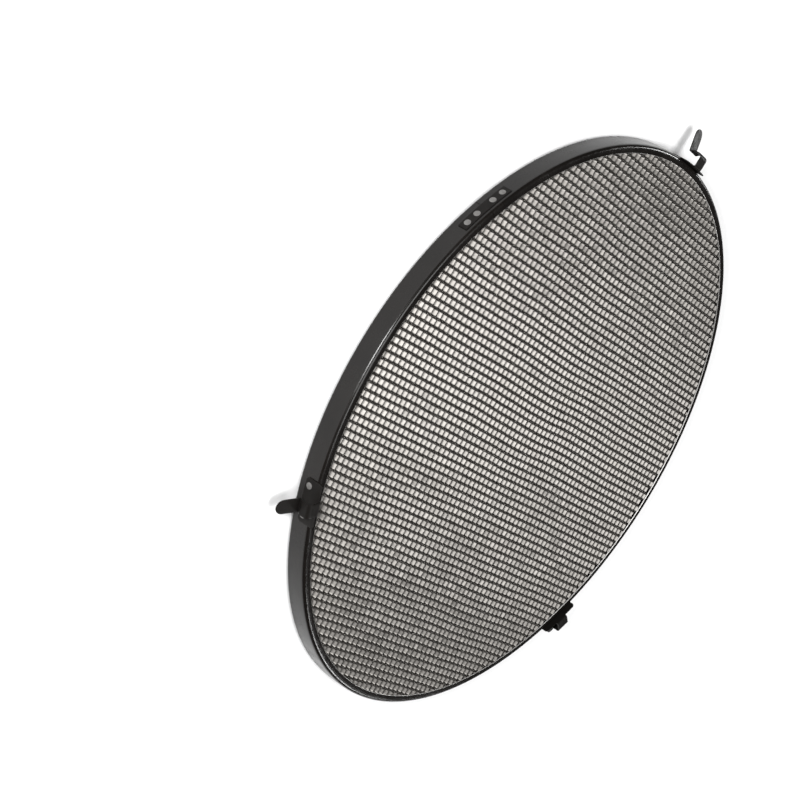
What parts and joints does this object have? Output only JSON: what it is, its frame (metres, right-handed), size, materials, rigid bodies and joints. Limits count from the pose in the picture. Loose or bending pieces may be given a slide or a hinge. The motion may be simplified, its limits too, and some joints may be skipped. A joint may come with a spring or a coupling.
{
  "type": "honeycomb grid",
  "caption": "Round studio-light honeycomb grid: bonded aluminium foil cells held in a rolled black hoop, with spring clips that hook over a reflector's rim.",
  "frame": {"origin": "on the grid's axis, in the mid plane of the hoop", "axes": "+Z is the grid's axis, out of the front face towards the subject; the grid lies on its back flange; the clips stand at 60, 180 and 300 degrees from +X"},
  "size_m": [0.557, 0.526, 0.0263],
  "materials": {
    "hoop_paint": "gloss black enamel",
    "clip_steel": "satin black spring steel",
    "rivet_steel": "dull zinc plate",
    "foil": "bright mill-finish foil"
  },
  "bodies": {
    "hoop_body": {"hoop": "hoop_paint", "splice_plate": "clip_steel", "splice_rivets": "rivet_steel", "clip_foot_1": "clip_steel", "clip_foot_2": "clip_steel", "clip_foot_3": "clip_steel", "clip_rivets_1": "rivet_steel", "clip_rivets_2": "rivet_steel", "clip_rivets_3": "rivet_steel", "foil_bank_1": "foil", "foil_bank_2": "foil", "foil_bank_3": "foil", "foil_bank_4": "foil", "foil_bank_5": "foil", "foil_bank_6": "foil", "foil_bank_7": "foil", "foil_bank_8": "foil", "foil_bank_9": "foil", "foil_bank_10": "foil", "foil_bank_11": "foil", "foil_bank_12": "foil", "foil_bank_13": "foil", "foil_bank_14": "foil", "foil_bank_15": "foil"},
    "clip_1": {"clip_hook_1": "clip_steel"},
    "clip_2": {"clip_hook_2": "clip_steel"},
    "clip_3": {"clip_hook_3": "clip_steel"}
  },
  "joints": [
    {"name": "clip_1_flex", "type": "hinge", "parent": "hoop_body", "child": "clip_1", "pos_m": [0.13171, 0.22813, 0.0143], "axis": [0.866, -0.5, 0], "range_deg": [0, 25], "stiffness_Nm_per_rad": 0.5},
    {"name": "clip_2_flex", "type": "hinge", "parent": "hoop_body", "child": "clip_2", "pos_m": [-0.26342, 0, 0.0143], "axis": [0, 1, 0], "range_deg": [0, 25], "stiffness_Nm_per_rad": 0.5},
    {"name": "clip_3_flex", "type": "hinge", "parent": "hoop_body", "child": "clip_3", "pos_m": [0.13171, -0.22813, 0.0143], "axis": [-0.866, -0.5, 0], "range_deg": [0, 25], "stiffness_Nm_per_rad": 0.5}
  ]
}
